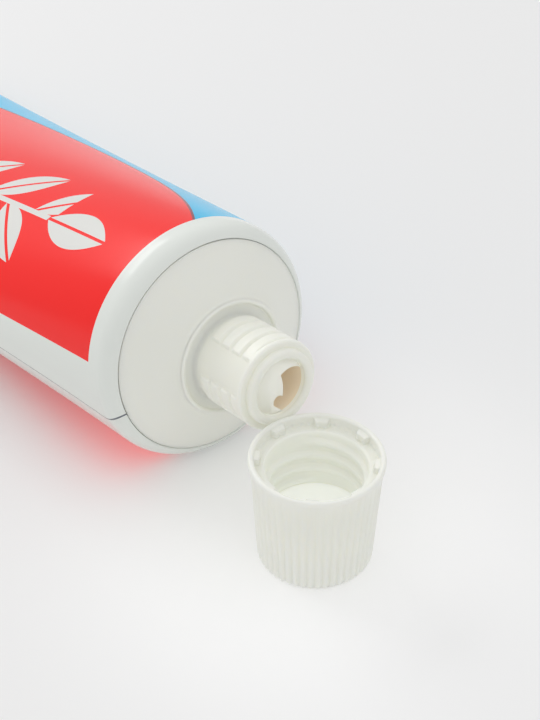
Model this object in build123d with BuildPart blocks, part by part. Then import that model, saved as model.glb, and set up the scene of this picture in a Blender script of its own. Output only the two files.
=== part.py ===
from build123d import *

import os
from math import atan, atan2, cos, degrees, pi, radians, sin, sqrt, tan

# Toothpaste tube lying on its side with its screw cap off. Millimetres, +Z up.
# The origin is on the surface the tube lies on, midway between the tail and the far side of
# the cap. +X runs along the tube from its sealed tail to its nozzle.

# ---- sleeve: laminate sheet rolled into a tube, folded over the shoulder, sealed flat -------
tube_radius = 19.0
laminate = 0.4
body_length = 146.0           # from the shoulder's edge to the start of the tail seal
top_bulge = 1.15              # 1 is a straight top line, more is a fuller tube
corner_straight = 0.2         # straight wall in front of the shoulder's edge
corner_radius = 3.5           # rounding where the sheet turns onto the shoulder
shoulder_slope = 29.0         # degrees between the shoulder cone and a flat disc
sheet_edge_radius = 17.1      # where the folded sheet ends on the shoulder
seal_length = 8.0             # flat heat seal at the tail
crimp_count = 6
crimp_width = 0.6
crimp_depth = 0.12

# ---- headpiece: shoulder, collar, threaded neck and outlet, moulded in one ------------------
weld_gap = 0.05               # between the sheet and the shoulder that it is welded onto
edge_gap = 0.08               # beside the cut edge of the sheet
shoulder_step = 0.12          # the shoulder lies this far under the sheet's outer face
shoulder_wall = 1.2
skirt_length = 1.5            # stub of the shoulder that reaches back inside the sheet
skirt_wall = 1.0
collar_radius = 9.25
collar_height = 8.2           # all heights on the headpiece are from the shoulder's edge
collar_lip = 0.75
collar_recess = 0.5
neck_root_radius = 6.6
neck_end_radius = 7.04
neck_end_length = 1.0
neck_height = 18.95
nozzle_radius = 5.91
nozzle_height = 20.05
outlet_radius = 4.46
web_depth = 1.1               # from the nozzle's rim down to the web
web_thickness = 0.7
neck_end_bevel = 0.35
nozzle_foot_step = 0.2        # small step where the nozzle's ring leaves the neck's end
# The outlet's outline in the web, in its plane: x across the tube, y up. It runs from the
# bore's wall round three bows with corners between them, and back to the wall.
web_open_top = 1.2
web_bow_upper = (2.6, 1.92)
web_corner_upper = (0.70, 1.43)
web_bow_side = (0.92, -0.5)
web_corner_lower = (0.65, -2.17)
web_bow_lower = (-0.98, -2.32)
web_lobe_end = (-0.62, -3.49)
web_open_side = 0.33

# ---- screw thread: a single right-hand ridge on the neck, and one in the cap ----------------
thread_pitch = 2.4
thread_sunk = 0.15            # the ridges are sunk this far into their walls
neck_ridge_base = 1.9
neck_ridge_crest = 1.1
neck_ridge_height = 0.42
neck_ridge_start = 1.5        # middle of the ridge's start, above the collar's recess
cap_ridge_base = 1.3
cap_ridge_crest = 0.45
cap_ridge_height = 0.6
cap_ridge_start = 1.0         # middle of the ridge's start, above the cap's floor
cap_ridge_turns = 3.12
cap_ridge_angle = 130.0       # where the cap's ridge starts, from +X
thread_clearance = 0.3        # radial play between the neck's crest and the cap's wall
thread_relief_angle = 150.0   # middle of the gap in the neck's thread, at the mould's parting
thread_relief_width = 50.0

# ---- cap: fluted skirt, floor part way up, open recess in the end it stands on --------------
cap_height = 17.85
cap_rim_radius = 9.7
cap_rim_height = 0.95
cap_rim_ledge = 0.3           # the rim stands this far proud of the fluted skirt
cap_foot_radius = 8.45
cap_wall = 0.85               # rim's thickness round the counterbore
cap_seat_depth = 1.7          # from the rim down to the annular seat
lug_count = 8
lug_width = 1.8
lug_length = 0.8
lug_drop = 0.55               # the lugs stop this far below the rim
flute_count = 48
flute_radius = 0.36
flute_depth = 0.26
floor_thickness = 1.2
floor_play = 0.05             # between the nozzle's rim and the floor when the cap is on
foot_wall = 1.35
foot_rounding = 0.5

# ---- contents and the way the pieces lie ----------------------------------------------------
paste_gap = 0.2               # between the paste and the walls round it
paste_height = 7.0            # the paste's front face, in the shoulder below the neck
paste_rounding = 1.5          # looser than the rounding inside the shoulder
cap_stand_off = 0.7           # between the nozzle and the cap's rim
cap_side = -3.0               # how far the cap stands to one side of the tube's axis


# ---- how the tube rests: its whole underside lies on the surface, so its axis climbs --------
seal_half = laminate
climb = atan((tube_radius - seal_half) / body_length)
axis_dir = Vector(cos(climb), 0, sin(climb))
up_dir = Vector(-sin(climb), 0, cos(climb))
across_dir = Vector(0, 1, 0)

nozzle_reach = nozzle_height * cos(climb) + nozzle_radius * sin(climb)
cap_x_from_shoulder = nozzle_reach + cap_stand_off + cap_rim_radius
tail_x_from_shoulder = body_length * cos(climb)
shoulder_x = (tail_x_from_shoulder + seal_length - cap_x_from_shoulder - cap_rim_radius) / 2
shoulder_centre = Vector(shoulder_x, 0, tube_radius * cos(climb))
tail_x = shoulder_x - tail_x_from_shoulder
cap_x = shoulder_x + cap_x_from_shoulder

# The tube's own planes: z along the axis out of the nozzle, x across, y up.
tube_plane = Plane(origin=shoulder_centre, x_dir=across_dir, z_dir=axis_dir)
profile_plane = Plane(origin=shoulder_centre, x_dir=across_dir, z_dir=-up_dir)
tube_axis = Axis(shoulder_centre, axis_dir)
cap_plane = Plane(origin=(cap_x, cap_side, 0), x_dir=(1, 0, 0), z_dir=(0, 0, 1))
cap_profile_plane = Plane(origin=(cap_x, cap_side, 0), x_dir=(1, 0, 0), z_dir=(0, -1, 0))
cap_axis = Axis((cap_x, cap_side, 0), (0, 0, 1))

# The straight wall and the shoulder cone meet at this height, before the corner is rounded.
slope = radians(shoulder_slope)
corner_height = corner_straight + corner_radius * tan((pi / 2 - slope) / 2)


def cone_height(radius, depth):
    """Height of the shoulder cone at a radius, on the surface that lies depth under the sheet's."""
    return corner_height + (tube_radius - radius) * tan(slope) - depth / cos(slope)


def square_edge(radius, depth):
    """Radius and height of the point that far under a point on the cone, square to the cone."""
    inner_radius = radius - depth * sin(slope)
    return inner_radius, cone_height(inner_radius, depth)


def half_width(half_height):
    """Half the width of an ellipse of that half height, whose girth is the tube's girth."""
    narrow, wide = tube_radius, pi * tube_radius / 2
    for _ in range(40):
        middle = (narrow + wide) / 2
        ratio = ((middle - half_height) / (middle + half_height)) ** 2
        girth = pi * (middle + half_height) * (1 + 3 * ratio / (10 + sqrt(4 - 3 * ratio)))
        if girth < 2 * pi * tube_radius:
            narrow = middle
        else:
            wide = middle
    return wide


def section_at(distance):
    """Plane, half width and half height of the tube's section that far behind the shoulder."""
    share = distance / body_length
    below = tube_radius - (tube_radius - seal_half) * share
    above = tube_radius - (tube_radius - seal_half) * share ** top_bulge
    half_height = (below + above) / 2
    centre = shoulder_centre - axis_dir * distance + up_dir * ((above - below) / 2)
    plane = Plane(origin=centre, x_dir=across_dir, z_dir=axis_dir)
    return plane, half_width(half_height), half_height


# Distances behind the shoulder at which the tube's section is set out.
section_shares = (0.05, 0.12, 0.22, 0.36, 0.52, 0.68, 0.84)
cavity_end = body_length * 0.965
body_sections = [0.0] + [share * body_length for share in section_shares] + [body_length]
cavity_sections = [0.0] + [share * body_length for share in section_shares] + [cavity_end]
paste_start = skirt_length + 0.5
paste_end = cavity_end - paste_gap
paste_sections = [paste_start] + [share * body_length for share in section_shares] + [paste_end]


# ---- sleeve ---------------------------------------------------------------------------------
with BuildPart() as sleeve:
    for distance in body_sections:
        plane, width, height = section_at(distance)
        with BuildSketch(plane):
            Ellipse(width, height)
    loft()
    # The tail is pressed flat and lies on the surface, as wide as half the tube's girth.
    seal_mid = tail_x - seal_length / 2
    with BuildSketch(Plane.XY):
        with Locations((seal_mid + laminate / 2, 0)):
            Rectangle(seal_length + laminate, pi * tube_radius)
    extrude(amount=2 * seal_half)
    for distance in cavity_sections:
        plane, width, height = section_at(distance)
        with BuildSketch(plane):
            Ellipse(width - laminate, height - laminate)
    loft(mode=Mode.SUBTRACT)
    # The front of the sheet, rolled over the shoulder's edge.
    with BuildSketch(profile_plane):
        with BuildLine():
            outer = FilletPolyline(
                (tube_radius, 0),
                (tube_radius, corner_height),
                (sheet_edge_radius, cone_height(sheet_edge_radius, 0)),
                radius=corner_radius,
            )
            inner = FilletPolyline(
                (tube_radius - laminate, 0),
                (tube_radius - laminate, cone_height(tube_radius - laminate, laminate)),
                square_edge(sheet_edge_radius, laminate),
                radius=corner_radius - laminate,
            )
            Line(outer @ 0, inner @ 0)
            Line(outer @ 1, inner @ 1)
        make_face()
    revolve(axis=tube_axis)
    # Crimp lines pressed into both faces of the seal, across its width.
    crimp_pitch = seal_length / (crimp_count + 1)
    for face_z, into in ((2 * seal_half, -crimp_depth), (0.0, crimp_depth)):
        with BuildSketch(Plane.XY.offset(face_z)):
            with Locations((seal_mid, 0)):
                with GridLocations(crimp_pitch, 0, crimp_count, 1):
                    Rectangle(crimp_width, pi * tube_radius)
        extrude(amount=into, mode=Mode.SUBTRACT)
sleeve.part.label = "sleeve"


def thread(radius, rise, base, crest, height):
    """One helical ridge round the Z axis from +X up; a negative height points into a bore."""
    sunk = thread_sunk if height < 0 else -thread_sunk
    with BuildPart() as ridge:
        with BuildLine() as path:
            Helix(pitch=thread_pitch, height=rise, radius=radius)
        with BuildSketch(Plane(origin=path.line @ 0, x_dir=(1, 0, 0), z_dir=path.line % 0)):
            Polygon(
                (sunk, -base / 2), (height, -crest / 2), (height, crest / 2), (sunk, base / 2),
                align=None,
            )
        sweep(path=path.line, is_frenet=True)
    return ridge.part


# ---- headpiece ------------------------------------------------------------------------------
hidden = laminate + weld_gap
hidden_radius = tube_radius - hidden
step_radius = sheet_edge_radius - edge_gap
collar_inner = collar_radius - collar_lip
recess_height = collar_height - collar_recess
web_top = nozzle_height - web_depth
web_under = web_top - web_thickness
inner_depth = shoulder_step + shoulder_wall
skirt_inner = hidden_radius - skirt_wall
skirt_taper = skirt_length * tan(climb) + weld_gap
neck_end_base = neck_height - neck_end_length

# The neck's ridge runs out into the neck's end and is broken on both sides, where the mould
# parts.
neck_ridge_bottom = recess_height + neck_ridge_start
neck_ridge_rise = neck_end_base - neck_ridge_bottom
neck_ridge = thread(
    neck_root_radius, neck_ridge_rise, neck_ridge_base, neck_ridge_crest, neck_ridge_height
)
relief_plane = Plane.XY.offset(-neck_ridge_base).rotated((0, 0, thread_relief_angle))
relief_half = radians(thread_relief_width / 2)
relief_reach = neck_end_radius * 1.5
with BuildPart() as neck_thread:
    add(neck_ridge)
    with BuildSketch(relief_plane):
        for side in (1, -1):
            Polygon(
                (0, 0),
                (side * relief_reach * cos(relief_half), -relief_reach * sin(relief_half)),
                (side * relief_reach * cos(relief_half), relief_reach * sin(relief_half)),
                align=None,
            )
    extrude(amount=neck_ridge_rise + 2 * neck_ridge_base, mode=Mode.SUBTRACT)
placed_neck_thread = tube_plane.offset(neck_ridge_bottom) * neck_thread.part

with BuildPart() as headpiece:
    # Each corner of the section: radius, height and rounding.
    section = (
        (hidden_radius - skirt_taper, -skirt_length, 0),
        (hidden_radius, 0, 0),
        (hidden_radius, cone_height(hidden_radius, hidden), corner_radius - hidden),
        (*square_edge(step_radius, hidden), 0),
        (*square_edge(step_radius, shoulder_step), 0.06),
        (collar_radius, cone_height(collar_radius, shoulder_step), 0.3),
        (collar_radius, collar_height, 0.33),
        (collar_inner, collar_height, 0.25),
        (collar_inner, recess_height, 0.15),
        (neck_root_radius, recess_height, 0.2),
        (neck_root_radius, neck_end_base, 0),
        (neck_end_radius, neck_end_base + neck_end_bevel, 0),
        (neck_end_radius, neck_height, 0.4),
        (nozzle_radius + nozzle_foot_step, neck_height, 0.1),
        (nozzle_radius, neck_height - nozzle_foot_step, 0),
        (nozzle_radius, nozzle_height, 0.55),
        (outlet_radius, nozzle_height, 0.45),
        (outlet_radius, web_top, 0),
        (0, web_top, 0),
        (0, web_under, 0),
        (outlet_radius, web_under, 0),
        (outlet_radius, cone_height(outlet_radius, inner_depth), 0.6),
        (skirt_inner, cone_height(skirt_inner, inner_depth), 0.8),
        (skirt_inner, -skirt_length, 0),
    )
    with BuildSketch(profile_plane):
        with BuildLine():
            FilletPolyline(
                [(radius, height) for radius, height, _ in section],
                radius=[rounding for _, _, rounding in section],
                close=True,
            )
        make_face()
    revolve(axis=tube_axis)
    # The shaped outlet through the web: one broad lobe open to the wall and a small one.
    on_wall_upper = (sqrt(outlet_radius ** 2 - web_open_top ** 2), web_open_top)
    on_wall_lower = (web_open_side, -sqrt(outlet_radius ** 2 - web_open_side ** 2))
    wall_middle = (atan2(*reversed(on_wall_upper)) + atan2(*reversed(on_wall_lower))) / 2
    with BuildSketch(tube_plane.offset(web_under)):
        with BuildLine():
            ThreePointArc(on_wall_upper, web_bow_upper, web_corner_upper)
            ThreePointArc(web_corner_upper, web_bow_side, web_corner_lower)
            ThreePointArc(web_corner_lower, web_bow_lower, web_lobe_end)
            Line(web_lobe_end, on_wall_lower)
            ThreePointArc(
                on_wall_lower,
                (outlet_radius * cos(wall_middle), outlet_radius * sin(wall_middle)),
                on_wall_upper,
            )
        make_face()
    extrude(amount=web_thickness, mode=Mode.SUBTRACT)
    add(placed_neck_thread)
headpiece.part.label = "headpiece"


# ---- cap ------------------------------------------------------------------------------------
skirt_top_radius = cap_rim_radius - cap_rim_ledge
skirt_top = cap_height - cap_rim_height
seat_height = cap_height - cap_seat_depth
counterbore_radius = cap_rim_radius - cap_wall
neck_crest_radius = neck_root_radius + neck_ridge_height
cap_bore_radius = neck_crest_radius + thread_clearance
# With the cap screwed home its rim meets the collar and its floor meets the nozzle.
floor_height = cap_height - (nozzle_height - collar_height) - floor_play
recess_radius = cap_foot_radius - foot_wall
flute_tilt = atan2(skirt_top_radius - cap_foot_radius, skirt_top)

# The inner ridge climbs from the floor towards the seat.
cap_ridge = thread(
    cap_bore_radius, cap_ridge_turns * thread_pitch, cap_ridge_base, cap_ridge_crest, -cap_ridge_height
)
cap_ridge_plane = cap_plane.offset(floor_height + cap_ridge_start).rotated((0, 0, cap_ridge_angle))
placed_cap_thread = cap_ridge_plane * cap_ridge

with BuildPart() as cap:
    cap_section = (
        (recess_radius, 0, 0.2),
        (cap_foot_radius, 0, foot_rounding),
        (skirt_top_radius, skirt_top, 0),
        (cap_rim_radius, skirt_top, 0.2),
        (cap_rim_radius, cap_height, 0.3),
        (counterbore_radius, cap_height, 0.3),
        (counterbore_radius, seat_height, 0.15),
        (cap_bore_radius, seat_height, 0.3),
        (cap_bore_radius, floor_height, 0.4),
        (0, floor_height, 0),
        (0, floor_height - floor_thickness, 0),
        (recess_radius, floor_height - floor_thickness, 0.4),
    )
    with BuildSketch(cap_profile_plane):
        with BuildLine():
            FilletPolyline(
                [(radius, height) for radius, height, _ in cap_section],
                radius=[rounding for _, _, rounding in cap_section],
                close=True,
            )
        make_face()
    revolve(axis=cap_axis)
    # Grip flutes follow the skirt's taper from the foot up to the rim.
    flute_centre = cap_foot_radius + flute_radius - flute_depth
    flute_length = (skirt_top - foot_rounding) / cos(flute_tilt)
    for turn in range(flute_count):
        around = radians(turn * 360 / flute_count)
        outward = Vector(cos(around), sin(around), 0)
        along = Vector(0, 0, cos(flute_tilt)) + outward * sin(flute_tilt)
        with BuildSketch(Plane(origin=cap_plane.origin + outward * flute_centre, z_dir=along)):
            Circle(flute_radius)
    extrude(amount=flute_length, mode=Mode.SUBTRACT)
    # Lugs inside the rim bite round the collar's edge.
    with BuildSketch(cap_plane.offset(seat_height)):
        with PolarLocations(counterbore_radius - lug_length / 2 + 0.1, lug_count):
            Rectangle(lug_length + 0.2, lug_width)
    extrude(amount=cap_seat_depth - lug_drop)
    add(placed_cap_thread)
cap.part.label = "cap"


# ---- toothpaste -----------------------------------------------------------------------------
with BuildPart() as toothpaste:
    for distance in paste_sections:
        plane, width, height = section_at(distance)
        with BuildSketch(plane):
            Ellipse(width - laminate - paste_gap, height - laminate - paste_gap)
    loft()
    # The paste fills the shoulder and stops below the neck.
    plug_radius = skirt_inner - paste_gap
    plug_depth = inner_depth + paste_gap
    front_radius = tube_radius - (paste_height - corner_height + plug_depth / cos(slope)) / tan(slope)
    with BuildSketch(profile_plane):
        with BuildLine():
            FilletPolyline(
                (0, -paste_start - 1),
                (plug_radius, -paste_start - 1),
                (plug_radius, cone_height(plug_radius, plug_depth)),
                (front_radius, paste_height),
                (0, paste_height),
                radius=(0, 0, paste_rounding, 0, 0),
                close=True,
            )
        make_face()
    revolve(axis=tube_axis)
toothpaste.part.label = "toothpaste"


os.makedirs("parts", exist_ok=True)
export_step(sleeve.part, "parts/sleeve.step")
export_step(headpiece.part, "parts/headpiece.step")
export_step(cap.part, "parts/cap.step")
export_step(toothpaste.part, "parts/toothpaste.step")

print(f"climb {degrees(climb):.2f} deg, shoulder x {shoulder_x:.2f}, cap x {cap_x:.2f}")
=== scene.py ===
from math import atan, atan2, ceil, cos, hypot, pi, radians, sin, sqrt, tan, tanh
import bmesh
import bpy
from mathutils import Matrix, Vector


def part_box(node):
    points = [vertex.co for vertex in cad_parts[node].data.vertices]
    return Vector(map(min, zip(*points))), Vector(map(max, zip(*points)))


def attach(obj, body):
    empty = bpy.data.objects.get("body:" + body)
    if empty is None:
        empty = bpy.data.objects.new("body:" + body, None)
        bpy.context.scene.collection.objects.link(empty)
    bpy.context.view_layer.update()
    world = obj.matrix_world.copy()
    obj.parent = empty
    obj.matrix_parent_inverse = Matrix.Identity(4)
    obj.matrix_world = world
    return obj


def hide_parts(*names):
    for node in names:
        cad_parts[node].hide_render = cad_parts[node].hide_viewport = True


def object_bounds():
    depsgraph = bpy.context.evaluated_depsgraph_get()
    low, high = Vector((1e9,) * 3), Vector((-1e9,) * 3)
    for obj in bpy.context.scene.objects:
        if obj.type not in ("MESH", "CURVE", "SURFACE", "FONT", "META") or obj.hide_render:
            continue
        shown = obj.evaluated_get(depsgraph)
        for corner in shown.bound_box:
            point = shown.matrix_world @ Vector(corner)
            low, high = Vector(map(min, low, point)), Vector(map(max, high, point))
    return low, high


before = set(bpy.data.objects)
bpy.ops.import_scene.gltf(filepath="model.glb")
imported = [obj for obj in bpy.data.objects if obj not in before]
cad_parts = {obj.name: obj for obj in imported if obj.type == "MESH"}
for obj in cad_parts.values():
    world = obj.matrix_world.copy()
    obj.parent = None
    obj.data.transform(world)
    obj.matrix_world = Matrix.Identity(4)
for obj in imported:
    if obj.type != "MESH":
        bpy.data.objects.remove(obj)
cad_low, cad_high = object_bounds()

# Every length below is in millimetres, times this where Blender takes it.
mm = 0.001

# ---- Sleeve ---------------------------------------------------------------------------------
# A sheet of aluminium-barrier laminate, rolled into a tube and lapped along one side, turned
# over the shoulder's edge and welded to it, and heat-sealed flat at the tail. It is printed in
# plain fields, red and light blue on white, with a pale sprig, under a gloss lacquer.
tube_radius = 19.0
laminate = 0.4
body_length = 146.0
seal_length = 8.0
top_bulge = 1.15                # 1 is a straight top line, more is a fuller tube
corner_straight = 0.2
corner_radius = 3.5
shoulder_slope = radians(29)    # between the shoulder's cone and a flat disc
sheet_edge_radius = 17.1
cavity_share = 0.965            # of the body's length, from the shoulder back
girth = 2 * pi * tube_radius
crimp_count = 6
crimp_depth = 0.1
crimp_profile = ((-0.3, 0), (-0.15, 0.7), (0, 1), (0.15, 0.7), (0.3, 0))
lap_at = 35.6                   # the lap's edge, round the girth from the top line
lap_step = 0.22
lap_width = 3.0
lap_cut = 0.08                  # width of the lap's cut edge, where it steps down
lap_shift = 1.1                 # how far the lap's edge strays where the sheet turns over
lap_shift_run = 4.5
lap_slant = 4.5                 # and how far it strays towards the tail
lap_slant_run = 38.0
lap_reach = 16.0                # the sheet on both sides of the lap is drawn along this far
girth_columns = 180
body_rows = 60
corner_rows = 12
cavity_rows = 30
white_margin = 1.4              # unprinted sheet behind the shoulder's edge
red_end = 26.2                  # round the girth from the top line, on the lap's side
underside_from = 42.0           # the red panel underneath begins there, on both sides
blue_far = -36.0                # the blue field's far edge
border_far = -20.0              # the border between red and blue, far from the shoulder
border_bow = 18.5               # and how far it bows towards the lap's side near the shoulder
border_fade = 28.0
border_line = 0.22              # half the width of the line along the border
stem_at = 9.0                   # the sprig's stem, round the girth from the top line
stem_half = 0.5
stem_ends = (25, 140)           # distances behind the shoulder
leaf_pitch = 15.0
leaf_length = 15.5
leaf_half = 2.9
leaf_lean = radians(38)
leaf_ends = (24, 200)
tip_start = 9.0
tip_length = 16.0
tip_half = 3.6
vein_half = 0.28
sheet_white = "#E9EDE8"
sprig_white = "#E3E3DF"
ink_red = "#FF1712"
ink_blue = "#20BEEE"
ink_border = "#8C3B4C"
# grey of the lap's cut edge and of the painted shadow beside it
lap_core_and_shadow_grey = "#6F767D"

sleeve_low = Vector(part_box("sleeve")[0]) / mm
climb = atan((tube_radius - laminate) / body_length)
axis = Vector((cos(climb), 0, sin(climb)))
up = Vector((-sin(climb), 0, cos(climb)))
across = Vector((0, 1, 0))
shoulder_x = sleeve_low.x + seal_length + body_length * cos(climb)
shoulder = Vector((shoulder_x, 0, tube_radius * cos(climb)))
corner_height = corner_straight + corner_radius * tan((pi / 2 - shoulder_slope) / 2)


def linear(colour):
    """sRGB hex to the linear colour that shaders take."""
    parts = [int(colour[i:i + 2], 16) / 255 for i in (1, 3, 5)]
    return [c / 12.92 if c < 0.04045 else ((c + 0.055) / 1.055) ** 2.4 for c in parts] + [1]


def add(tree, kind, inputs=(), **settings):
    """Adds a node with its settings and its inputs, which are values or other nodes' sockets."""
    node = tree.nodes.new(kind)
    for name, value in settings.items():
        setattr(node, name, value)
    for key, value in dict(inputs).items():
        if isinstance(value, bpy.types.NodeSocket):
            tree.links.new(value, node.inputs[key])
        else:
            node.inputs[key].default_value = value
    return node


def math(tree, operation, *values):
    """A math node's result."""
    return add(tree, "ShaderNodeMath", dict(enumerate(values)), operation=operation).outputs[0]


def painted(name, colour, **constants):
    """A material with its Principled shader's base colour and other inputs set."""
    material = bpy.data.materials.new(name)
    material.use_nodes = True
    shader = material.node_tree.nodes["Principled BSDF"]
    shader.inputs["Base Color"].default_value = linear(colour)
    for key, value in constants.items():
        shader.inputs[key.replace("_", " ")].default_value = value
    return material


def finished(name, bm, material):
    """Turns a bmesh in millimetres into an object with outward, smooth faces."""
    bmesh.ops.recalc_face_normals(bm, faces=bm.faces)
    bmesh.ops.scale(bm, vec=(mm, mm, mm), verts=bm.verts)
    for face in bm.faces:
        face.smooth = True
    mesh = bpy.data.meshes.new(name)
    bm.to_mesh(mesh)
    bm.free()
    mesh.materials.append(material)
    piece = bpy.data.objects.new(name, mesh)
    bpy.context.scene.collection.objects.link(piece)
    return piece


def ease(value):
    """0 below 0, 1 above 1 and smooth between."""
    value = min(max(value, 0.0), 1.0)
    return value * value * (3 - 2 * value)


def half_width(half_height):
    """Half the width of an ellipse of that half height whose girth is the tube's."""
    narrow, wide = tube_radius, pi * tube_radius / 2
    for _ in range(40):
        middle = (narrow + wide) / 2
        ratio = ((middle - half_height) / (middle + half_height)) ** 2
        length = pi * (middle + half_height) * (1 + 3 * ratio / (10 + sqrt(4 - 3 * ratio)))
        if length < girth:
            narrow = middle
        else:
            wide = middle
    return wide


def columns_round():
    """Places round the girth, from the top line and back to it, close together at the lap."""
    offsets = (-0.9, -0.5, -0.25, -0.1, 0.0, 0.08, 0.25, 0.6, 1.1)
    places = [girth * k / girth_columns for k in range(girth_columns)]
    places = [place for place in places if not -1.3 < place - lap_at < 1.5]
    return sorted(places + [lap_at + offset for offset in offsets])


def round_girth(place, run):
    """A column's place round the girth, drawn along with the lap's edge as it strays.

    A run is the distance past the shoulder's edge, and is negative on the tube's body.
    """
    stray = lap_shift * ease(run / lap_shift_run) + lap_slant * tanh(max(0.0, -run) / lap_slant_run)
    return place - stray * max(0.0, 1 - abs(place - lap_at) / lap_reach)


def lap_lift(place):
    """Height of the overlapping edge above the sheet under it, tapering off under the print."""
    if place > lap_at:
        return lap_step * (1 - ease((place - lap_at) / lap_cut))
    return lap_step * ease((place - lap_at + lap_width) / lap_width)


def section_ring(distance, places, inset):
    """Points round the sleeve at a distance behind the shoulder."""
    share = distance / body_length
    below = tube_radius - (tube_radius - laminate) * share
    above = tube_radius - (tube_radius - laminate) * share ** top_bulge
    height = (below + above) / 2
    width = half_width(height)
    centre = shoulder - axis * distance + up * ((above - below) / 2)
    steps = 1440
    turns = [2 * pi * k / steps for k in range(steps + 1)]
    lengths = [0.0]
    for k in range(steps):
        step_across = width * (sin(turns[k + 1]) - sin(turns[k]))
        step_up = height * (cos(turns[k + 1]) - cos(turns[k]))
        lengths.append(lengths[-1] + hypot(step_across, step_up))
    points = []
    k = 0
    for place in places:
        target = lengths[-1] * round_girth(place, -distance) / girth
        while lengths[k + 1] < target:
            k += 1
        turn = turns[k] + turns[1] * (target - lengths[k]) / (lengths[k + 1] - lengths[k])
        out = Vector((height * sin(turn), width * cos(turn))).normalized()
        lift = (0 if inset else lap_lift(place) * (1 - share) ** 0.5) - inset
        points.append(
            centre - across * (width * sin(turn) + out.x * lift)
            + up * (height * cos(turn) + out.y * lift)
        )
    return points


def corner_outline(inset):
    """Radius, height and outward slope along the sheet where it turns over the shoulder."""
    bend = pi / 2 - shoulder_slope
    outline = []
    for k in range(corner_rows + 1):
        turn = bend * k / corner_rows
        outline.append((
            tube_radius - corner_radius + (corner_radius - inset) * cos(turn),
            corner_straight + (corner_radius - inset) * sin(turn),
            turn,
        ))
    edge_height = corner_height + (tube_radius - sheet_edge_radius) * tan(shoulder_slope)
    outline.append((
        sheet_edge_radius - inset * sin(shoulder_slope),
        edge_height - inset * cos(shoulder_slope),
        bend,
    ))
    return outline


def sleeve_mesh():
    """The sheet's outer face from tail to front, and its inner face back to the seal."""
    places = columns_round()
    rows = []
    for k in range(body_rows + 1):
        distance = body_length * (1 - (k / body_rows) ** 0.9)
        moved = [round_girth(place, -distance) for place in places]
        rows.append((section_ring(distance, places, 0), distance, moved))
    run, last = 0.0, (tube_radius, 0.0)
    for radius, height, turn in corner_outline(0):
        run += hypot(radius - last[0], height - last[1])
        last = (radius, height)
        points, moved = [], []
        for place in places:
            at = round_girth(place, run)
            around = 2 * pi * at / girth
            out = radius + lap_lift(place) * cos(turn)
            points.append(
                shoulder + axis * (height + lap_lift(place) * sin(turn))
                + (up * cos(around) - across * sin(around)) * out
            )
            moved.append(at)
        rows.append((points, -run, moved))
    for radius, height, _ in reversed(corner_outline(laminate)):
        points = []
        for place in places:
            around = 2 * pi * place / girth
            points.append(
                shoulder + axis * height + (up * cos(around) - across * sin(around)) * radius
            )
        rows.append((points, -run, places))
    for k in range(cavity_rows + 1):
        distance = body_length * cavity_share * k / cavity_rows
        rows.append((section_ring(distance, places, laminate), -run, places))
    bm = bmesh.new()
    print_map = bm.loops.layers.uv.new("print")
    lap_map = bm.loops.layers.uv.new("lap")
    grid = [[bm.verts.new(point) for point in points] for points, _, _ in rows]
    count = len(places)
    for i in range(len(rows) - 1):
        for k in range(count):
            corners = ((i, k), (i + 1, k), (i + 1, k + 1), (i, k + 1))
            face = bm.faces.new([grid[row][column % count] for row, column in corners])
            for loop, (row, column) in zip(face.loops, corners):
                wrap = girth if column == count else 0
                column %= count
                loop[print_map].uv = (rows[row][2][column] + wrap, rows[row][1])
                loop[lap_map].uv = (places[column] + wrap - lap_at, 0)
    bm.faces.new(grid[0])
    bm.faces.new(list(reversed(grid[-1])))
    add_seal(bm, print_map, lap_map)
    return bm


def add_seal(bm, print_map, lap_map):
    """The tail: two layers pressed into one flat strip, with crimp lines across both faces."""
    half = pi * tube_radius / 2
    pitch = seal_length / (crimp_count + 1)
    outline = [(0.0, 0.0)]
    for k in range(crimp_count):
        middle = pitch * (k + 1)
        for offset, depth in crimp_profile:
            outline.append((middle + offset, crimp_depth * depth))
    outline.append((seal_length + laminate, 0.0))
    ring = list(outline)
    ring += [(x, 2 * laminate - depth) for x, depth in reversed(outline)]
    sides = []
    for y in (-half, half):
        sides.append([bm.verts.new((sleeve_low.x + x, y, z)) for x, z in ring])
    count = len(ring)
    faces = [bm.faces.new(sides[0]), bm.faces.new(sides[1][::-1])]
    for k in range(count):
        k2 = (k + 1) % count
        faces.append(bm.faces.new((sides[0][k], sides[0][k2], sides[1][k2], sides[1][k])))
    for face in faces:
        for loop in face.loops:
            x, y, z = loop.vert.co
            place = -y if z > laminate else girth / 2 + y
            loop[print_map].uv = (place % girth, body_length + seal_length - (x - sleeve_low.x))
            # The seal lies far from the lap's edge.
            loop[lap_map].uv = (girth, 0)


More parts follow.
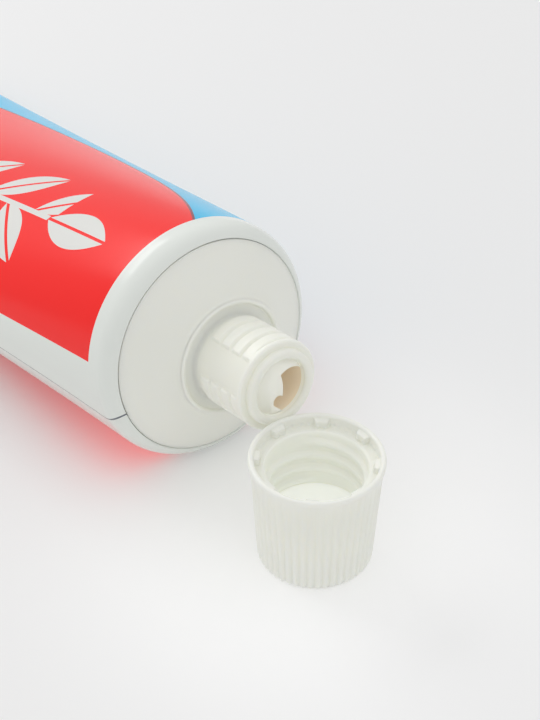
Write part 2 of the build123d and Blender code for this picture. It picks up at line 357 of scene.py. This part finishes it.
def printed_laminate():
    """Polyethylene laminate, reverse-printed and lacquered: flat colours under a clear gloss, with
    a painted red glow on the panel underneath.
    """
    material = painted("printed laminate, gloss lacquer", sheet_white, Roughness=0.22, IOR=1.45)
    tree = material.node_tree
    shader = tree.nodes["Principled BSDF"]
    print_uv = add(tree, "ShaderNodeUVMap", uv_map="print").outputs["UV"]
    split = add(tree, "ShaderNodeSeparateXYZ", {0: print_uv})
    around, along = split.outputs["X"], split.outputs["Y"]
    lap_uv = add(tree, "ShaderNodeUVMap", uv_map="lap").outputs["UV"]
    from_lap = add(tree, "ShaderNodeSeparateXYZ", {0: lap_uv}).outputs["X"]

    def within(value, low, high):
        return math(tree, "MULTIPLY", math(tree, "GREATER_THAN", value, low),
                    math(tree, "LESS_THAN", value, high))

    def over(mask, under, colour):
        node = add(tree, "ShaderNodeMix", {0: mask, 7: linear(colour)}, data_type="RGBA")
        if isinstance(under, bpy.types.NodeSocket):
            tree.links.new(under, node.inputs[6])
        else:
            node.inputs[6].default_value = linear(under)
        return node.outputs[2]

    # Distance round the girth from the top line: positive on the lap's side.
    half_turn = math(tree, "ADD", around, girth / 2)
    side = math(tree, "SUBTRACT", math(tree, "FLOORED_MODULO", half_turn, girth), girth / 2)

    # The border between red and blue bows over the top line near the shoulder.
    fade = math(tree, "EXPONENT", math(tree, "DIVIDE", along, -border_fade))
    border = math(tree, "MULTIPLY_ADD", fade, border_bow, border_far)
    past_border = math(tree, "SUBTRACT", side, border)
    blue = math(tree, "MULTIPLY", within(past_border, -girth, 0),
                math(tree, "GREATER_THAN", side, blue_far))
    red = math(tree, "MULTIPLY", within(past_border, 0, girth),
               math(tree, "LESS_THAN", side, red_end))
    underside = math(tree, "GREATER_THAN", math(tree, "ABSOLUTE", side), underside_from)

    # A sprig lies along the red field: paired leaves on a stem, pointing at the shoulder.
    from_stem = math(tree, "SUBTRACT", side, stem_at)
    off_stem = math(tree, "ABSOLUTE", from_stem)
    stagger = math(tree, "MULTIPLY", math(tree, "GREATER_THAN", from_stem, 0), leaf_pitch / 2)
    cell = math(tree, "FLOORED_MODULO", math(tree, "SUBTRACT", stagger, along), leaf_pitch)
    leaf_along = math(tree, "ADD", math(tree, "MULTIPLY", cell, cos(leaf_lean)),
                      math(tree, "MULTIPLY", off_stem, sin(leaf_lean)))
    leaf_across = math(tree, "SUBTRACT", math(tree, "MULTIPLY", off_stem, cos(leaf_lean)),
                       math(tree, "MULTIPLY", cell, sin(leaf_lean)))
    share = math(tree, "DIVIDE", leaf_along, leaf_length)
    bulge = math(tree, "MULTIPLY", math(tree, "MULTIPLY", share, math(tree, "SUBTRACT", 1, share)),
                 4 * leaf_half)
    distance = math(tree, "ABSOLUTE", leaf_across)
    leaf = math(tree, "MULTIPLY", math(tree, "LESS_THAN", distance, bulge),
                math(tree, "GREATER_THAN", distance, vein_half))
    leaf = math(tree, "MULTIPLY", leaf, within(along, *leaf_ends))
    tip_share = math(tree, "DIVIDE", math(tree, "SUBTRACT", along, tip_start), tip_length)
    tip_bulge = math(tree, "MULTIPLY", math(tree, "MULTIPLY", tip_share,
                     math(tree, "SUBTRACT", 1, tip_share)), 4 * tip_half)
    tip = math(tree, "MULTIPLY", math(tree, "LESS_THAN", off_stem, tip_bulge),
               math(tree, "GREATER_THAN", off_stem, vein_half))
    stem = math(tree, "MULTIPLY", math(tree, "LESS_THAN", off_stem, stem_half),
                within(along, *stem_ends))
    sprig = math(tree, "MAXIMUM", math(tree, "MAXIMUM", leaf, tip), stem)

    colour = over(blue, sheet_white, ink_blue)
    colour = over(red, colour, ink_red)
    colour = over(math(tree, "MULTIPLY", red, sprig), colour, sprig_white)
    colour = over(within(past_border, -border_line, border_line), colour, ink_border)
    colour = over(underside, colour, ink_red)
    unprinted = math(tree, "LESS_THAN", along, white_margin)
    colour = over(unprinted, colour, sheet_white)
    # The lap's cut edge shows its grey foil core, and beside it a painted shadow where the step
    # drops onto the sheet below.
    colour = over(within(from_lap, -0.15, 0.35), colour, lap_core_and_shadow_grey)
    tree.links.new(colour, shader.inputs["Base Color"])
    # The panel underneath glows red, most of all near the shoulder: a painted glow that stands in
    # for the red light the tube throws on the surface it lies on.
    shader.inputs["Emission Color"].default_value = linear("#FF2020")
    painted_glow = math(tree, "MULTIPLY", underside, math(tree, "SUBTRACT", 1, unprinted))
    painted_glow_near_shoulder = math(tree, "EXPONENT", math(tree, "DIVIDE", along, -12))
    strength = math(tree, "MULTIPLY_ADD", painted_glow_near_shoulder, 0.25, 0.12)
    tree.links.new(math(tree, "MULTIPLY", painted_glow, strength), shader.inputs["Emission Strength"])
    return material


sleeve = finished("sleeve_sheet", sleeve_mesh(), printed_laminate())
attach(sleeve, "root")
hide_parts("sleeve")

# ---- Headpiece ------------------------------------------------------------------------------
# Shoulder, collar, threaded neck and nozzle moulded in one from natural polyethylene, which is
# milky and satin. A single right-hand ridge climbs the neck, broken where the mould parts.
# All heights are from the shoulder's edge along the tube's axis.
shoulder_step = 0.12
shoulder_wall = 1.2
weld_gap = 0.05
skirt_length = 1.5
skirt_wall = 1.0
collar_radius = 9.25
collar_height = 8.2
collar_lip = 0.75
collar_recess = 0.5
neck_root_radius = 6.6
neck_end_radius = 7.04
neck_end_length = 1.0
neck_height = 18.95
nozzle_radius = 5.91
nozzle_height = 20.05
outlet_radius = 4.46
web_depth = 1.1
web_thickness = 0.7
thread_pitch = 2.4
neck_ridge_height = 0.42
neck_ridge_start = 1.5          # middle of the ridge's start, above the collar's recess
neck_ridge_base = 2.3
neck_ridge_crest = 1.4
neck_ridge_fade = 0.06          # share of a turn over which the ridge's ends rise
relief_angle = 150              # degrees from the tube's far side to the middle of a break
relief_width = 50
relief_edge = 3
web_clearance = 0.005           # between the web's edge and the bore's wall
natural_white = "#F5F6EC"


def rounded(corners, step=0.12):
    """Points along a closed outline of radius, height and rounding, with its corners rounded."""
    points = []
    count = len(corners)
    for k, (radius, height, rounding) in enumerate(corners):
        here = Vector((radius, height))
        to_last = (Vector(corners[k - 1][:2]) - here).normalized()
        to_next = (Vector(corners[(k + 1) % count][:2]) - here).normalized()
        half = to_last.angle(to_next) / 2
        if not rounding or abs(half - pi / 2) < 0.01:
            points.append(here)
            continue
        reach = rounding / tan(half)
        centre = here + (to_last + to_next).normalized() * (rounding / sin(half))
        first = here + to_last * reach - centre
        last = here + to_next * reach - centre
        steps = max(3, ceil(first.angle(last) * rounding / step))
        for j in range(steps + 1):
            share = j / steps
            ray = first.lerp(last, share).normalized() * rounding
            points.append(centre + ray)
    return points


def refined(points, low, high, near, step):
    """Adds points to the stretches of an outline that run up a wall, where a thread needs them."""
    finer = []
    for k, here in enumerate(points):
        finer.append(here)
        following = points[(k + 1) % len(points)]
        middle = (here + following) / 2
        if abs(middle.x - near) < 0.05 and low < middle.y < high:
            steps = ceil(abs(following.y - here.y) / step)
            finer += [here.lerp(following, j / steps) for j in range(1, steps)]
    return finer


def lathe(bm, outline, columns, place, offset):
    """Sweeps an outline round, moving each point out by an offset. Points on the axis join."""
    rings = []
    for point in outline:
        if point.x < 1e-6:
            rings.append([bm.verts.new(place(0, 0, point.y))])
            continue
        ring = []
        for k in range(columns):
            around = 2 * pi * k / columns
            ring.append(bm.verts.new(place(point.x + offset(around, point), around, point.y)))
        rings.append(ring)
    for k, ring in enumerate(rings):
        following = rings[(k + 1) % len(rings)]
        if len(ring) == 1 and len(following) == 1:
            continue
        for j in range(columns):
            j2 = (j + 1) % columns
            if len(ring) == 1:
                bm.faces.new((ring[0], following[j], following[j2]))
            elif len(following) == 1:
                bm.faces.new((ring[j], following[0], ring[j2]))
            else:
                bm.faces.new((ring[j], following[j], following[j2], ring[j2]))


def ridge_height(around, height, start, turns, base, crest, fade):
    """Height, from 0 to 1, of a helical ridge at a place on its wall."""
    highest = 0.0
    for k in range(ceil(turns) + 1):
        turn = around / (2 * pi) + k
        if turn > turns:
            break
        off = abs(height - start - thread_pitch * turn)
        side = 1 - ease((off - crest / 2) / ((base - crest) / 2))
        highest = max(highest, side * ease(turn / fade) * ease((turns - turn) / fade))
    return highest


def cone_height(radius, depth):
    """Height of the shoulder's cone, on the surface that lies depth under the sheet's."""
    return (corner_height + (tube_radius - radius) * tan(shoulder_slope)
            - depth / cos(shoulder_slope))


def square_edge(radius, depth):
    """The point that far under a point on the cone, square to the cone."""
    inner = radius - depth * sin(shoulder_slope)
    return inner, cone_height(inner, depth)


def on_tube(radius, around, height):
    """A point in the tube's own frame: angles run from its far side up over the top."""
    return shoulder + axis * height + (across * cos(around) + up * sin(around)) * radius


def arc_through(first, middle, last, steps=14):
    """Points on the circle through three points, without the last."""
    ax, ay, bx, by, cx, cy = *first, *middle, *last
    d = 2 * (ax * (by - cy) + bx * (cy - ay) + cx * (ay - by))
    a2, b2, c2 = ax * ax + ay * ay, bx * bx + by * by, cx * cx + cy * cy
    x = (a2 * (by - cy) + b2 * (cy - ay) + c2 * (ay - by)) / d
    y = (a2 * (cx - bx) + b2 * (ax - cx) + c2 * (bx - ax)) / d
    start, via, end = (atan2(q - y, p - x) for p, q in (first, middle, last))
    sweep = (end - start) % (2 * pi)
    if (via - start) % (2 * pi) > sweep:
        sweep -= 2 * pi
    radius = hypot(ax - x, ay - y)
    return [
        (x + radius * cos(start + sweep * k / steps), y + radius * sin(start + sweep * k / steps))
        for k in range(steps)
    ]


def headpiece_mesh():
    """The lathe-turned moulding with its ridge, and the web with its lobed outlet."""
    hidden = laminate + weld_gap
    hidden_radius = tube_radius - hidden
    step_radius = sheet_edge_radius - 0.08
    recess_height = collar_height - collar_recess
    neck_end_base = neck_height - neck_end_length
    inner_depth = shoulder_step + shoulder_wall
    skirt_inner = hidden_radius - skirt_wall
    web_top = nozzle_height - web_depth
    corners = (
        (hidden_radius - skirt_length * tan(climb) - weld_gap, -skirt_length, 0),
        (hidden_radius, 0, 0),
        (hidden_radius, cone_height(hidden_radius, hidden), corner_radius - hidden),
        (*square_edge(step_radius, hidden), 0),
        (*square_edge(step_radius, shoulder_step), 0.08),
        (collar_radius, cone_height(collar_radius, shoulder_step), 0.7),
        (collar_radius, collar_height, 0.37),
        (collar_radius - collar_lip, collar_height, 0.35),
        (collar_radius - collar_lip, recess_height, 0.15),
        (neck_root_radius, recess_height, 0.6),
        (neck_root_radius, neck_end_base, 0.1),
        (neck_end_radius, neck_end_base + 0.35, 0.1),
        (neck_end_radius, neck_height, 0.42),
        (nozzle_radius, neck_height, 0.12),
        (nozzle_radius, nozzle_height, 0.6),
        (outlet_radius, nozzle_height, 0.6),
        (outlet_radius, cone_height(outlet_radius, inner_depth), 0.6),
        (skirt_inner, cone_height(skirt_inner, inner_depth), 0.8),
        (skirt_inner, -skirt_length, 0),
    )
    outline = refined(rounded(corners), recess_height, neck_height, neck_root_radius, 0.1)
    start = recess_height + neck_ridge_start
    turns = (neck_end_base - start) / thread_pitch

    def ridge(around, point):
        on_wall = neck_root_radius - 0.01 <= point.x <= neck_end_radius
        if not on_wall or point.y < recess_height:
            return 0.0
        apart = abs((around - radians(relief_angle) + pi / 2) % pi - pi / 2)
        relief = ease((apart - radians(relief_width / 2)) / radians(relief_edge) + 0.5)
        height = relief * ridge_height(
            around, point.y, start, turns, neck_ridge_base, neck_ridge_crest, neck_ridge_fade
        )
        room = neck_root_radius + neck_ridge_height - point.x
        return max(0.0, min(neck_ridge_height * height, room))

    bm = bmesh.new()
    lathe(bm, outline, 288, on_tube, ridge)

    # The web's outline: the far side of the bore's wall, then back along the outlet's edge.
    open_top, open_side = 1.2, 0.33
    upper = (sqrt(outlet_radius ** 2 - open_top ** 2), open_top)
    lower = (open_side, -sqrt(outlet_radius ** 2 - open_side ** 2))
    edge = arc_through(lower, (-0.1, -4.0), (-0.62, -3.49), 3)
    edge += arc_through((-0.62, -3.49), (-0.98, -2.32), (0.65, -2.17))
    edge += arc_through((0.65, -2.17), (0.92, -0.5), (0.70, 1.43))
    edge += arc_through((0.70, 1.43), (2.6, 1.92), upper)
    first, last = atan2(upper[1], upper[0]), atan2(lower[1], lower[0]) + 2 * pi
    rim = outlet_radius - web_clearance
    steps = 60
    turns = [first + (last - first) * k / steps for k in range(steps + 1)]
    wall = [(rim * cos(turn), rim * sin(turn)) for turn in turns]
    layers = []
    for height, pull in (
        (web_top - web_thickness, 0), (web_top - 0.12, 0), (web_top - 0.035, 0.035), (web_top, 0.12)
    ):
        layer = []
        for k, (x, y) in enumerate(edge):
            before = edge[k - 1] if k else lower
            after = edge[k + 1] if k + 1 < len(edge) else upper
            slope = Vector((after[0] - before[0], after[1] - before[1])).normalized()
            layer.append((x - slope.y * pull, y + slope.x * pull))
        layer += wall
        layers.append([
            bm.verts.new(shoulder + axis * height + across * x + up * y) for x, y in layer
        ])
    count = len(layers[0])
    for low, high in zip(layers, layers[1:]):
        for k in range(count):
            k2 = (k + 1) % count
            bm.faces.new((low[k], low[k2], high[k2], high[k]))
    bm.faces.new(layers[0][::-1])
    bm.faces.new(layers[-1])
    return bm


def milky_plastic(name, colour):
    """Natural polyolefin, moulded and satin: light spreads in it and leaves warmer."""
    material = painted(name, colour, Roughness=0.36, IOR=1.5)
    shader = material.node_tree.nodes["Principled BSDF"]
    shader.inputs["Subsurface Weight"].default_value = 0.6
    shader.inputs["Subsurface Radius"].default_value = (1.0, 0.95, 0.85)
    shader.inputs["Subsurface Scale"].default_value = 1.5 * mm
    return material


headpiece_plastic = milky_plastic("moulded polyethylene, natural", natural_white)
tree = headpiece_plastic.node_tree
from_shoulder = add(tree, "ShaderNodeVectorMath", {
    0: add(tree, "ShaderNodeTexCoord").outputs["Object"], 1: shoulder * mm
}, operation="SUBTRACT").outputs[0]
height = add(tree, "ShaderNodeVectorMath", {
    0: from_shoulder, 1: axis
}, operation="DOT_PRODUCT").outputs["Value"]
reach = add(tree, "ShaderNodeVectorMath", {0: from_shoulder}, operation="LENGTH").outputs["Value"]
radius = math(tree, "SQRT", math(tree, "SUBTRACT", math(tree, "MULTIPLY", reach, reach),
              math(tree, "MULTIPLY", height, height)))
# Deep in the outlet the colour is painted warm, standing in for shade and for light that has come
# through the wall.
painted_warm_zone = math(tree, "MULTIPLY", math(tree, "LESS_THAN", radius, (outlet_radius + 0.1) * mm),
              math(tree, "LESS_THAN", height, (nozzle_height - web_depth - 0.15) * mm))
painted_warm_tint = add(tree, "ShaderNodeMix", {
    0: painted_warm_zone, 6: linear(natural_white), 7: linear("#F2E7D2")
}, data_type="RGBA")
shader = tree.nodes["Principled BSDF"]
tree.links.new(painted_warm_tint.outputs[2], shader.inputs["Base Color"])
tree.links.new(painted_warm_tint.outputs[2], shader.inputs["Emission Color"])
# Painted glow: the mouth emits light, standing in for light that comes through the wall and keeps
# it bright.
painted_glow_zone = math(tree, "MULTIPLY", math(tree, "LESS_THAN", radius, (outlet_radius + 0.02) * mm),
             math(tree, "LESS_THAN", height, (nozzle_height - 0.7) * mm))
tree.links.new(math(tree, "MULTIPLY", painted_glow_zone, 0.11), shader.inputs["Emission Strength"])
headpiece = finished("headpiece_moulding", headpiece_mesh(), headpiece_plastic)
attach(headpiece, "root")
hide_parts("headpiece")

# ---- Cap ------------------------------------------------------------------------------------
# A screw cap moulded in one from milky polypropylene: fluted skirt under a plain rim, lugs in
# the rim's counterbore, a ridge in the bore and a floor part way up. It stands on its closed end.
cap_height = 17.85
cap_rim_radius = 9.7
cap_rim_height = 0.95
cap_rim_ledge = 0.3
cap_foot_radius = 8.45
cap_wall = 0.85
cap_seat_depth = 1.7
cap_bore_radius = 7.32
cap_ridge_height = 0.6
cap_ridge_start = 1.0           # middle of the ridge's start, above the floor
cap_ridge_turns = 3.12
cap_ridge_angle = radians(130)
cap_ridge_base = 1.9
cap_ridge_crest = 0.3
cap_ridge_fade = 0.13           # share of a turn over which the ridge's ends rise
floor_thickness = 1.2
foot_wall = 1.35
floor_play = 0.05               # between floor and nozzle, with the cap screwed home
floor_height = cap_height - (nozzle_height - collar_height) - floor_play
flute_count = 48
flute_depth = 0.26
lug_count = 8
lug_width = 1.9
lug_length = 0.8
lug_drop = 0.55                 # the lugs end this far under the rim
lug_edge = 0.22

cap_low, cap_high = (Vector(corner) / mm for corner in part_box("cap"))
cap_centre = (cap_low + cap_high) / 2


def on_cap(radius, around, height):
    """A point in the cap's own frame, which stands upright."""
    return Vector((
        cap_centre.x + radius * cos(around), cap_centre.y + radius * sin(around), height
    ))


def cap_mesh():
    """The lathe-turned cap with its ridge and its lugs, still without its flutes."""
    skirt_top_radius = cap_rim_radius - cap_rim_ledge
    skirt_top = cap_height - cap_rim_height
    seat_height = cap_height - cap_seat_depth
    counterbore = cap_rim_radius - cap_wall
    recess_radius = cap_foot_radius - foot_wall
    corners = (
        (0, floor_height - floor_thickness, 0),
        (recess_radius, floor_height - floor_thickness, 0.4),
        (recess_radius, 0, 0.2),
        (cap_foot_radius, 0, 0.5),
        (cap_foot_radius + (skirt_top_radius - cap_foot_radius) * 0.5, skirt_top * 0.5, 0),
        (skirt_top_radius, skirt_top, 0.2),
        (cap_rim_radius, skirt_top + 0.15, 0.15),
        (cap_rim_radius, cap_height, 0.35),
        (counterbore, cap_height, 0.4),
        (counterbore, seat_height, 0.25),
        (cap_bore_radius, seat_height, 0.5),
        (cap_bore_radius, floor_height, 0.5),
        (0, floor_height, 0),
    )
    lug_radius = counterbore - lug_length
    lug_top = cap_height - lug_drop
    outline = refined(rounded(corners), floor_height, seat_height, cap_bore_radius, 0.1)
    outline = refined(outline, seat_height, cap_height, counterbore, 0.08)

    def relief(around, point):
        if abs(point.x - cap_bore_radius) < 0.01 and point.y > floor_height:
            turned = (around - cap_ridge_angle) % (2 * pi)
            return -cap_ridge_height * ridge_height(
                turned, point.y, floor_height + cap_ridge_start, cap_ridge_turns,
                cap_ridge_base, cap_ridge_crest, cap_ridge_fade
            )
        # A lug is a stretch of the counterbore's wall that stands in over the seat.
        if lug_radius < point.x <= counterbore + 0.45 and seat_height - 0.01 < point.y:
            pitch = 2 * pi / lug_count
            apart = abs((around + pitch / 2) % pitch - pitch / 2) * lug_radius
            width = 1 - ease((apart - lug_width / 2) / lug_edge + 0.5)
            height = 1 - ease((point.y - lug_top) / lug_edge + 0.5)
            return (lug_radius - point.x) * width * height
        return 0.0

    bm = bmesh.new()
    lathe(bm, outline, 480, on_cap, relief)
    return bm


def flute_tree():
    """Geometry nodes that press flutes into the skirt, round an upright axis."""
    tree = bpy.data.node_groups.new("flutes round the skirt", "GeometryNodeTree")
    tree.interface.new_socket("Geometry", in_out="OUTPUT", socket_type="NodeSocketGeometry")
    sockets = {}
    for name, kind in (
        ("Geometry", "NodeSocketGeometry"), ("Count", "NodeSocketInt"),
        ("Depth", "NodeSocketFloat"), ("Top", "NodeSocketFloat"),
        ("Foot radius", "NodeSocketFloat"), ("Centre", "NodeSocketVector"),
        ("Material", "NodeSocketMaterial"),
    ):
        sockets[name] = tree.interface.new_socket(name, in_out="INPUT", socket_type=kind).identifier
    given = add(tree, "NodeGroupInput").outputs
    position = add(tree, "GeometryNodeInputPosition").outputs[0]
    offset = add(tree, "ShaderNodeVectorMath", {
        0: position, 1: given["Centre"]
    }, operation="SUBTRACT")
    split = add(tree, "ShaderNodeSeparateXYZ", {0: offset.outputs[0]}).outputs
    turn = math(tree, "ARCTAN2", split["Y"], split["X"])
    wave = math(tree, "COSINE", math(tree, "MULTIPLY", turn, given["Count"]))
    groove = math(tree, "POWER", math(tree, "MULTIPLY_ADD", wave, -0.5, 0.5), 1.6)
    # The flutes are shallower near the rim, where the skirt is wider, and end under it.
    up_share = math(tree, "DIVIDE", split["Z"], given["Top"])
    fade = math(tree, "MULTIPLY_ADD", up_share, -0.4, 1.0)
    depth = math(tree, "MULTIPLY", math(tree, "MULTIPLY", groove, fade), given["Depth"])
    flat = add(tree, "ShaderNodeCombineXYZ", {0: split["X"], 1: split["Y"]}).outputs[0]
    outward = add(tree, "ShaderNodeVectorMath", {0: flat}, operation="NORMALIZE").outputs[0]
    inward = add(tree, "ShaderNodeVectorMath", {
        0: outward, "Scale": math(tree, "MULTIPLY", depth, -1)
    }, operation="SCALE").outputs[0]
    radius = add(tree, "ShaderNodeVectorMath", {0: flat}, operation="LENGTH").outputs["Value"]
    outside = math(tree, "GREATER_THAN", radius, given["Foot radius"])
    chosen = math(tree, "MULTIPLY", outside, math(tree, "LESS_THAN", split["Z"], given["Top"]))
    pressed = add(tree, "GeometryNodeSetPosition", {
        "Geometry": given["Geometry"], "Selection": chosen, "Offset": inward
    })
    real = add(tree, "GeometryNodeRealizeInstances", {"Geometry": pressed.outputs["Geometry"]})
    coated = add(tree, "GeometryNodeSetMaterial", {
        "Geometry": real.outputs["Geometry"], "Material": given["Material"]
    })
    add(tree, "NodeGroupOutput", {"Geometry": coated.outputs["Geometry"]})
    return tree, sockets


cap_material = milky_plastic("moulded polypropylene, milky white", "#F0F1E9")
cap = finished("cap_moulding", cap_mesh(), cap_material)

tree = cap_material.node_tree
shader = tree.nodes["Principled BSDF"]
cap_foot = Vector((cap_centre.x, cap_centre.y, 0)) * mm
from_foot = add(tree, "ShaderNodeVectorMath", {
    0: add(tree, "ShaderNodeTexCoord").outputs["Object"], 1: cap_foot
}, operation="SUBTRACT").outputs[0]
split = add(tree, "ShaderNodeSeparateXYZ", {0: from_foot}).outputs
radius = math(tree, "SQRT", math(tree, "ADD", math(tree, "MULTIPLY", split["X"], split["X"]),
              math(tree, "MULTIPLY", split["Y"], split["Y"])))
# Painted glow: the floor and, weaker, the wall round the bore emit light, standing in for light
# from the lit table shining up through them.
above = math(tree, "GREATER_THAN", split["Z"], (floor_height - 0.1) * mm)
bore = math(tree, "MULTIPLY", math(tree, "LESS_THAN", radius, (cap_bore_radius + 0.2) * mm), above)
low = math(tree, "LESS_THAN", split["Z"], (floor_height + 0.2) * mm)
painted_glow = math(tree, "ADD", math(tree, "MULTIPLY", math(tree, "MULTIPLY", bore, low), 0.2),
            math(tree, "MULTIPLY", bore, 0.06))
shader.inputs["Emission Color"].default_value = linear("#F2F4F8")
tree.links.new(painted_glow, shader.inputs["Emission Strength"])

modifier = cap.modifiers.new("flutes", "NODES")
modifier.node_group, sockets = flute_tree()
modifier[sockets["Count"]] = flute_count
modifier[sockets["Depth"]] = flute_depth * mm
modifier[sockets["Top"]] = (cap_height - cap_rim_height - 0.3) * mm
modifier[sockets["Foot radius"]] = (cap_foot_radius - 0.45) * mm
modifier[sockets["Centre"]] = cap_foot
modifier[sockets["Material"]] = cap_material
fluted = bpy.data.meshes.new_from_object(cap.evaluated_get(bpy.context.evaluated_depsgraph_get()))
cap.modifiers.remove(modifier)
cap.data = fluted
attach(cap, "root")
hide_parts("cap")

# ---- Toothpaste -----------------------------------------------------------------------------
# White paste, smooth and damp, that fills the sleeve up to the shoulder.
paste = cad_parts["toothpaste"]
paste.data.materials.clear()
paste.data.materials.append(painted("white toothpaste", "#EDEFEC", Roughness=0.25))

# ---- Floor, light and camera ----------------------------------------------------------------
# A white acrylic table that glows faintly, more in a painted pool of light round the cap, under a
# bright tent; together they leave hardly a shadow.
floor_bm = bmesh.new()
bmesh.ops.create_grid(floor_bm, x_segments=1, y_segments=1, size=3000)
table = painted("lit acrylic table", "#E6E6E6", Roughness=0.5)
table_shader = table.node_tree.nodes["Principled BSDF"]
table_shader.inputs["Specular IOR Level"].default_value = 0.2
table_shader.inputs["Emission Color"].default_value = linear("#FFFFFF")
# A painted pool of light: the table's emission rises round the cap and lightens the shade there.
tree = table.node_tree
from_cap = add(tree, "ShaderNodeVectorMath", {
    0: add(tree, "ShaderNodeTexCoord").outputs["Object"], 1: cap_foot
}, operation="DISTANCE").outputs["Value"]
reach = math(tree, "DIVIDE", from_cap, 33 * mm)
painted_light_pool = math(tree, "EXPONENT", math(tree, "MULTIPLY", math(tree, "MULTIPLY", reach, reach), -1))
lit = math(tree, "MULTIPLY_ADD", painted_light_pool, 0.2, 0.06)
tree.links.new(lit, table_shader.inputs["Emission Strength"])
floor = finished("floor", floor_bm, table)
floor.location.z = cad_low[2] - 0.05 * mm

world = bpy.data.worlds.new("light tent")
bpy.context.scene.world = world
world.use_nodes = True
# The tent is brightest overhead.
tree = world.node_tree
direction = add(tree, "ShaderNodeTexCoord").outputs["Generated"]
height = add(tree, "ShaderNodeSeparateXYZ", {0: direction}).outputs["Z"]
overhead = math(tree, "POWER", math(tree, "MAXIMUM", height, 0), 0.7)
background = tree.nodes["Background"].inputs
background["Color"].default_value = (1, 1, 1, 1)
tree.links.new(math(tree, "MULTIPLY_ADD", overhead, 0.45, 0.5), background["Strength"])

# A softbox behind the tube's tail, mirrored along the neck's upper flank.
lamp_data = bpy.data.lights.new("softbox", "AREA")
lamp_data.shape = "RECTANGLE"
lamp_data.size, lamp_data.size_y = 0.45, 0.22
lamp_data.energy = 1.0
lamp = bpy.data.objects.new("softbox", lamp_data)
lamp.location = shoulder * mm + Vector((-0.77, -0.09, 0.63)) * 0.7
lamp.rotation_euler = (shoulder * mm - lamp.location).to_track_quat("-Z", "Y").to_euler()
bpy.context.scene.collection.objects.link(lamp)

camera_data = bpy.data.cameras.new("camera")
camera_data.sensor_fit = "VERTICAL"
camera_data.sensor_height = 36.0
camera_data.lens = 75.0
camera_data.clip_start = 0.01
camera_data.clip_end = 20.0
camera = bpy.data.objects.new("camera", camera_data)
bpy.context.scene.collection.objects.link(camera)
heading, pitch = radians(50.92), radians(37.97)
camera.location = Vector((cap_centre.x + 117.14, cap_centre.y - 103.57, 156.76)) * mm
view = Vector((-sin(heading) * cos(pitch), cos(heading) * cos(pitch), -sin(pitch)))
camera.rotation_euler = view.to_track_quat("-Z", "Y").to_euler()
bpy.context.scene.camera = camera
bpy.context.scene.view_settings.view_transform = "Standard"
